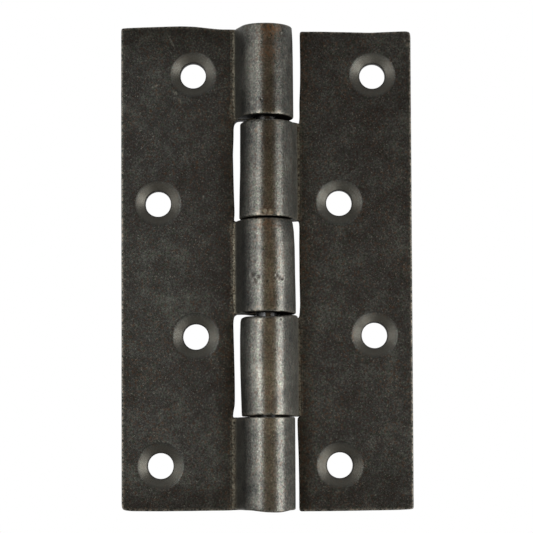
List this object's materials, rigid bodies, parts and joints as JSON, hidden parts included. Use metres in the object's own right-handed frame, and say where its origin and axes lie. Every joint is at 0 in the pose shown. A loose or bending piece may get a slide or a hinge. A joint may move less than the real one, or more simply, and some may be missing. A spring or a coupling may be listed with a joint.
{
  "type": "butt hinge",
  "caption": "Plain steel butt hinge of rolled strip: two leaves with interleaved knuckles on a fixed pin, countersunk screw holes in a zigzag.",
  "frame": {"origin": "on the pin's axis, half way along the three-knuckle leaf", "axes": "+Z along the pin, upwards; +X out along the two-knuckle leaf; +Y out of the backs of the leaves, which screw down"},
  "size_m": [0.061, 0.0114, 0.102],
  "materials": {
    "leaf_steel": "dark mottled steel, rubbed brighter on the knuckles and edges",
    "pin_steel": "dark drawn wire"
  },
  "bodies": {
    "first_leaf": {"three_knuckle_leaf": "leaf_steel", "hinge_pin": "pin_steel"},
    "second_leaf": {"two_knuckle_leaf": "leaf_steel"}
  },
  "joints": [
    {"name": "leaf_swing", "type": "hinge", "parent": "first_leaf", "child": "second_leaf", "pos_m": [0, 0, 0], "axis": [0, 0, -1], "range_deg": [-96, 188]}
  ]
}
